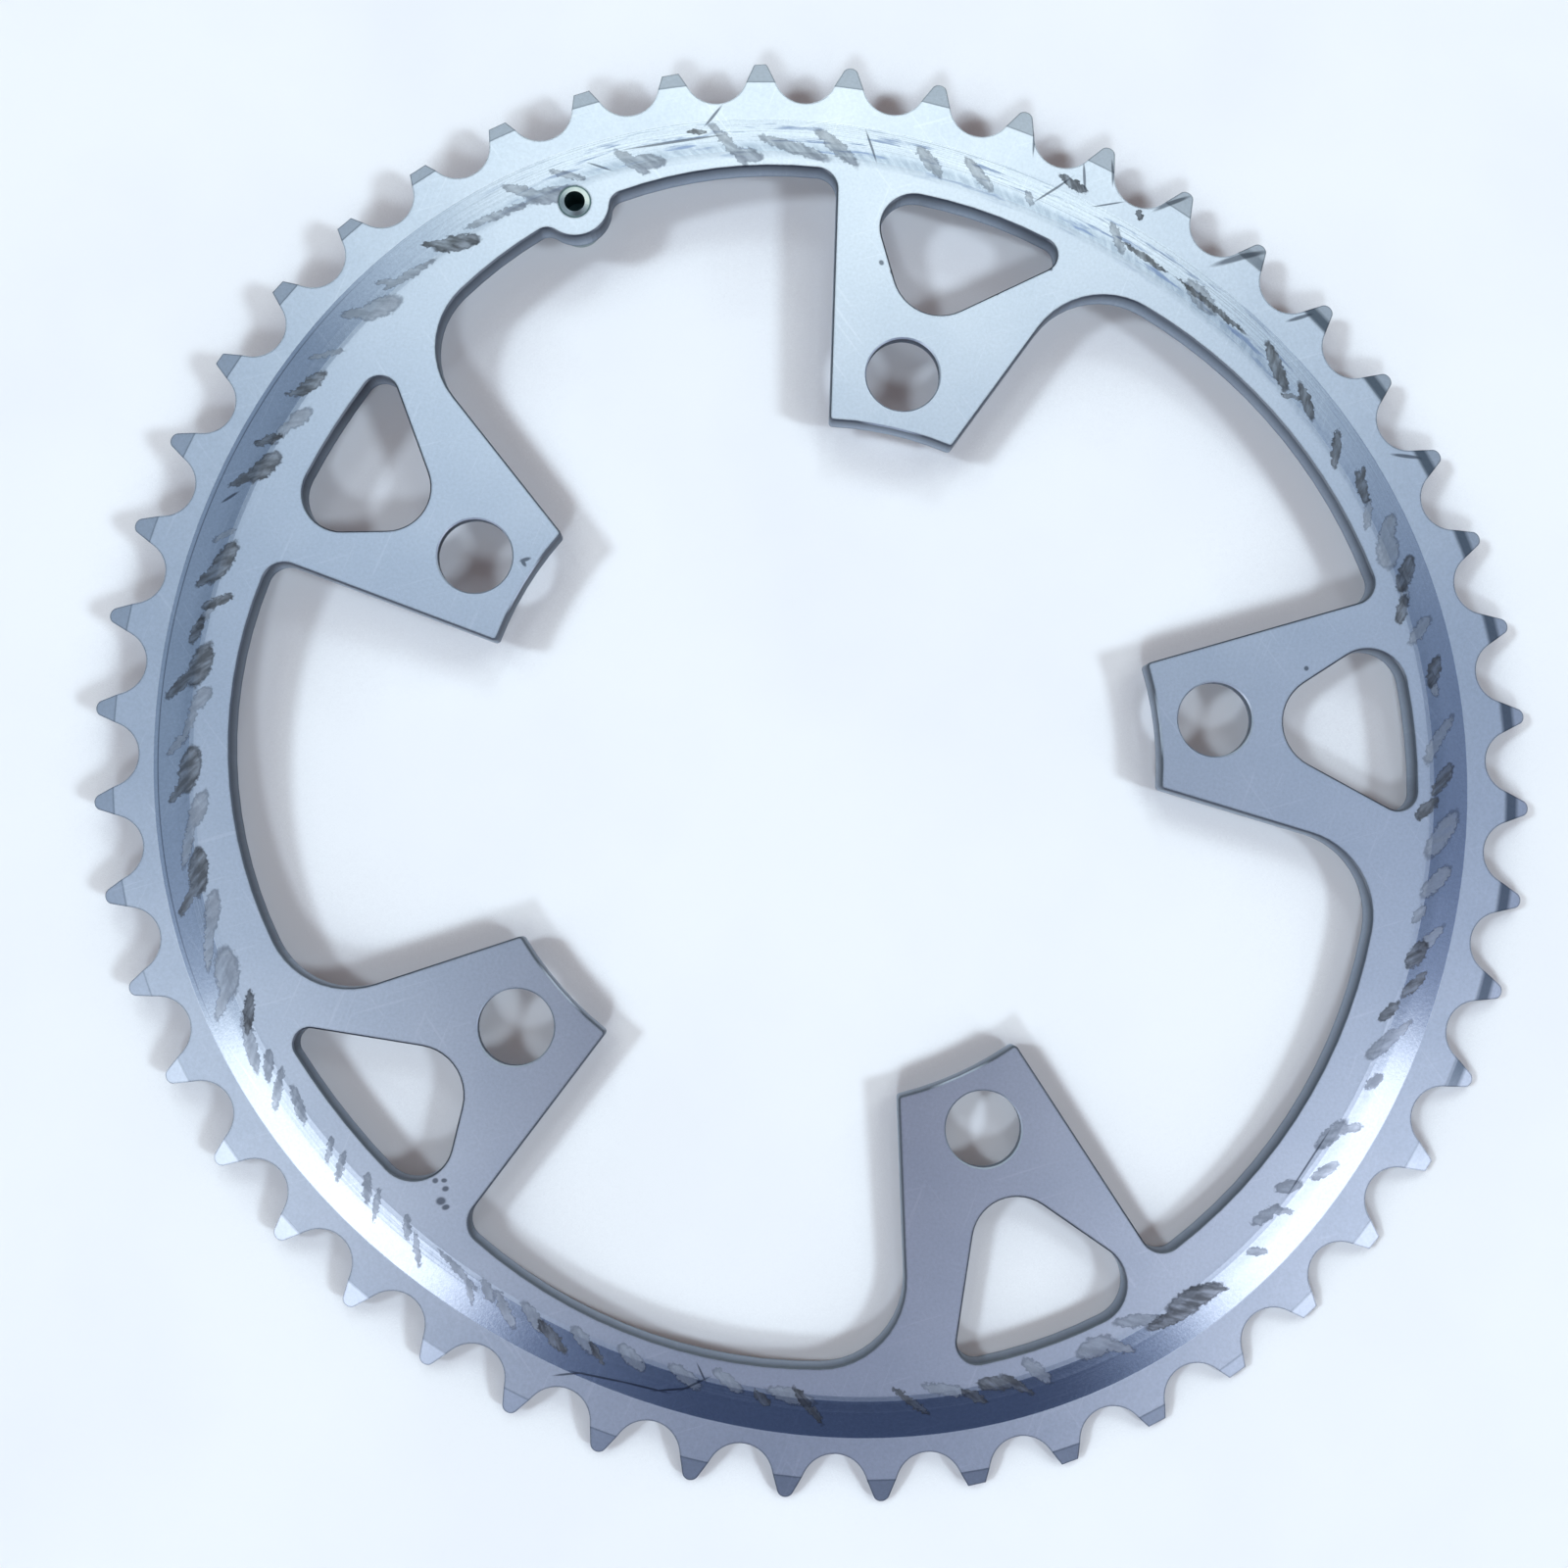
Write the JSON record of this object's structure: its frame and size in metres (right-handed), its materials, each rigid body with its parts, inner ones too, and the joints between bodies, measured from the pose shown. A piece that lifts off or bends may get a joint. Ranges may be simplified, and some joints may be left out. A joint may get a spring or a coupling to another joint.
{
  "type": "bicycle chainring",
  "caption": "Non-round outer chainring with a toothed rim, arms with triangular cut-outs and bolt holes, and a chain catch pin near the rim.",
  "frame": {"origin": "centre of the bolt circle on the inner face, the one that seats on the crank spider", "axes": "+Z along the bolt circle's axis, out of the inner face towards the bicycle's frame; +Y towards one bolt hole"},
  "size_m": [0.1994, 0.1968, 0.0088],
  "materials": {
    "anodised_aluminium": "satin anodised, turned and worn at the rim",
    "pin_steel": "turned"
  },
  "bodies": {
    "root": {"chainring": "anodised_aluminium", "chain_catch_pin": "pin_steel"}
  },
  "joints": []
}
